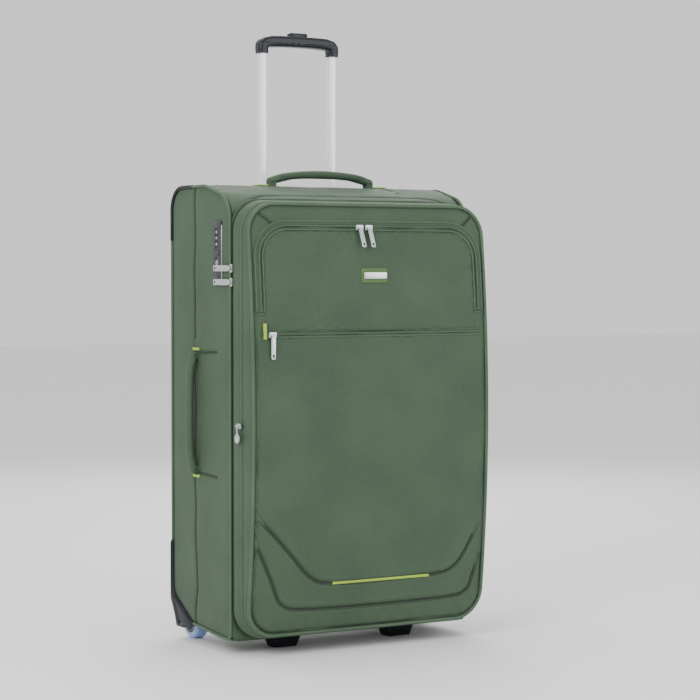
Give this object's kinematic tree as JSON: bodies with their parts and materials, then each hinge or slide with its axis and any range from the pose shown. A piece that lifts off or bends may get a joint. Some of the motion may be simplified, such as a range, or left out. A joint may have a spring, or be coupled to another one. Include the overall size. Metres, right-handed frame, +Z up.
{
  "type": "softside upright suitcase",
  "caption": "Upright fabric suitcase with rear wheels, pull-out handle, zipped front pockets, an expanding hinged lid and a side dial lock.",
  "frame": {"origin": "middle of the whole box on the floor plane, under the case", "axes": "+Z up, -Y is the front with the pockets, -X is the side with the lock and side handle"},
  "size_m": [0.487, 0.314, 1.06],
  "materials": {
    "shell_fabric": "woven nylon, matt",
    "piping_fabric": "woven nylon cord",
    "lining_fabric": "plain lining",
    "webbing": "woven webbing",
    "zip_tape": "zip tape and coil",
    "black_plastic": "moulded, fine grain",
    "grip_plastic": "moulded, satin",
    "tube_aluminium": "anodised, satin",
    "steel": "drawn wire and turned pins",
    "pull_metal": "satin silver",
    "badge_metal": "satin, blank",
    "wheel_tyre": "soft urethane",
    "wheel_hub": "moulded nylon",
    "dial": "moulded, white numbers"
  },
  "bodies": {
    "case": {"side_panel_left": "shell_fabric", "side_panel_right": "shell_fabric", "top_panel": "shell_fabric", "bottom_panel": "shell_fabric", "back_panel": "shell_fabric", "side_piping": "piping_fabric", "opening_wire": "steel", "corner_guards": "black_plastic", "wheel_housings": "black_plastic", "wheel_axles": "steel", "front_feet": "black_plastic", "outer_tubes": "tube_aluminium", "trolley_top_housing": "black_plastic", "trolley_bottom_bracket": "black_plastic", "trolley_cover": "lining_fabric", "handle_anchors": "black_plastic", "lock_housing": "black_plastic", "main_zip_case": "zip_tape", "packing_straps": "webbing", "strap_buckle": "black_plastic"},
    "wheel_left": {"wheel_tyre_left": "wheel_tyre", "wheel_hub_left": "wheel_hub"},
    "wheel_right": {"wheel_tyre_right": "wheel_tyre", "wheel_hub_right": "wheel_hub"},
    "pull_handle": {"inner_tubes": "tube_aluminium", "tube_glides": "black_plastic", "grip_lower": "grip_plastic", "grip_upper": "grip_plastic"},
    "release_button": {"release_button": "grip_plastic"},
    "carry_handle": {"carry_handle": "shell_fabric"},
    "side_handle": {"side_handle": "shell_fabric"},
    "lock_dial_1": {"lock_dial_1": "dial"},
    "lock_dial_2": {"lock_dial_2": "dial"},
    "lock_dial_3": {"lock_dial_3": "dial"},
    "lock_button": {"lock_button": "black_plastic"},
    "lock_key": {"lock_key_cylinder": "steel"},
    "main_slider_upper": {"main_slider_upper": "pull_metal"},
    "main_pull_upper": {"main_pull_upper": "pull_metal"},
    "main_slider_lower": {"main_slider_lower": "pull_metal"},
    "main_pull_lower": {"main_pull_lower": "pull_metal"},
    "lid": {"lid_ring": "shell_fabric", "lid_zips": "zip_tape", "hinge_strip": "shell_fabric"},
    "expansion_slider": {"expansion_slider": "pull_metal"},
    "expansion_pull": {"expansion_pull": "pull_metal"},
    "lid_front": {"front_ring": "shell_fabric", "front_board": "shell_fabric", "front_piping": "piping_fabric", "front_zips": "zip_tape", "upper_pocket_panel": "shell_fabric", "lower_pocket_panel": "shell_fabric", "lid_mesh_pocket": "lining_fabric", "badge_plate": "badge_metal", "expansion_gusset": "shell_fabric"},
    "upper_slider_left": {"upper_slider_left": "pull_metal"},
    "upper_pull_left": {"upper_pull_left": "pull_metal"},
    "upper_slider_right": {"upper_slider_right": "pull_metal"},
    "upper_pull_right": {"upper_pull_right": "pull_metal"},
    "lower_slider": {"lower_slider": "pull_metal"},
    "lower_pull": {"lower_pull": "pull_metal"}
  },
  "joints": [
    {"name": "wheel_left_spin", "type": "hinge", "parent": "case", "child": "wheel_left", "pos_m": [-0.196, 0.12, 0.03], "axis": [1, 0, 0], "continuous": true},
    {"name": "wheel_right_spin", "type": "hinge", "parent": "case", "child": "wheel_right", "pos_m": [0.212, 0.12, 0.03], "axis": [1, 0, 0], "continuous": true},
    {"name": "pull_handle_slide", "type": "slide", "parent": "case", "child": "pull_handle", "axis": [0, 0, 1], "range_m": [-0.2365, 0]},
    {"name": "release_button_press", "type": "slide", "parent": "pull_handle", "child": "release_button", "axis": [0, 0, 1], "range_m": [-0.004, 0], "stiffness_N_per_m": 900, "springref_m": 0.003},
    {"name": "carry_handle_swing", "type": "hinge", "parent": "case", "child": "carry_handle", "pos_m": [0.008, 0.041, 0.7912], "axis": [1, 0, 0], "range_deg": [-24, 24], "stiffness_Nm_per_rad": 0.4},
    {"name": "side_handle_swing", "type": "hinge", "parent": "case", "child": "side_handle", "pos_m": [-0.231, 0.0555, 0.398], "axis": [0, 0, 1], "range_deg": [-21, 21], "stiffness_Nm_per_rad": 0.4},
    {"name": "lock_dial_1_turn", "type": "hinge", "parent": "case", "child": "lock_dial_1", "pos_m": [-0.2182, -0.024, 0.7032], "axis": [0, 0, 1], "continuous": true},
    {"name": "lock_dial_2_turn", "type": "hinge", "parent": "case", "child": "lock_dial_2", "pos_m": [-0.2182, -0.024, 0.693], "axis": [0, 0, 1], "continuous": true},
    {"name": "lock_dial_3_turn", "type": "hinge", "parent": "case", "child": "lock_dial_3", "pos_m": [-0.2182, -0.024, 0.6828], "axis": [0, 0, 1], "continuous": true},
    {"name": "lock_button_press", "type": "slide", "parent": "case", "child": "lock_button", "axis": [1, 0, 0], "range_m": [0, 0.0025], "stiffness_N_per_m": 300, "springref_m": -0.001},
    {"name": "lock_key_turn", "type": "hinge", "parent": "case", "child": "lock_key", "pos_m": [-0.226, -0.024, 0.652], "axis": [1, 0, 0], "range_deg": [0, 90]},
    {"name": "main_slider_upper_run", "type": "slide", "parent": "case", "child": "main_slider_upper", "axis": [0, 0, 1], "range_m": [0, 0.055]},
    {"name": "main_pull_upper_swing", "type": "hinge", "parent": "main_slider_upper", "child": "main_pull_upper", "pos_m": [-0.228, -0.0727, 0.643], "axis": [0, 0, 1], "range_deg": [0, 110]},
    {"name": "main_slider_lower_run", "type": "slide", "parent": "case", "child": "main_slider_lower", "axis": [0, 0, 1], "range_m": [-0.5, 0]},
    {"name": "main_pull_lower_swing", "type": "hinge", "parent": "main_slider_lower", "child": "main_pull_lower", "pos_m": [-0.228, -0.0727, 0.62], "axis": [0, 0, 1], "range_deg": [0, 110]},
    {"name": "lid_swing", "type": "hinge", "parent": "case", "child": "lid", "pos_m": [0.245, -0.0721, 0.393], "axis": [0, 0, 1], "range_deg": [0, 165], "deforming": ["hinge_strip"]},
    {"name": "expansion_slide", "type": "slide", "parent": "lid", "child": "lid_front", "axis": [0, -1, 0], "range_m": [0, 0.04], "deforming": ["expansion_gusset"]},
    {"name": "expansion_slider_run", "type": "slide", "parent": "lid", "child": "expansion_slider", "axis": [0, 0, 1], "range_m": [-0.29, 0.31]},
    {"name": "expansion_pull_swing", "type": "hinge", "parent": "expansion_slider", "child": "expansion_pull", "pos_m": [-0.229, -0.10265, 0.384], "axis": [0, 1, 0], "range_deg": [0, 100]},
    {"name": "upper_slider_left_run", "type": "slide", "parent": "lid_front", "child": "upper_slider_left", "axis": [1, 0, 0], "range_m": [-0.13, 0]},
    {"name": "upper_pull_left_swing", "type": "hinge", "parent": "upper_slider_left", "child": "upper_pull_left", "pos_m": [-0.012, -0.13169, 0.711], "axis": [1, 0, 0], "range_deg": [-100, 0]},
    {"name": "upper_slider_right_run", "type": "slide", "parent": "lid_front", "child": "upper_slider_right", "axis": [1, 0, 0], "range_m": [0, 0.15]},
    {"name": "upper_pull_right_swing", "type": "hinge", "parent": "upper_slider_right", "child": "upper_pull_right", "pos_m": [0.006, -0.13169, 0.711], "axis": [1, 0, 0], "range_deg": [-100, 0]},
    {"name": "lower_slider_run", "type": "slide", "parent": "lid_front", "child": "lower_slider", "axis": [1, 0, 0], "range_m": [0, 0.385]},
    {"name": "lower_pull_swing", "type": "hinge", "parent": "lower_slider", "child": "lower_pull", "pos_m": [-0.185, -0.14705, 0.534], "axis": [1, 0, 0], "range_deg": [-110, 0]}
  ]
}
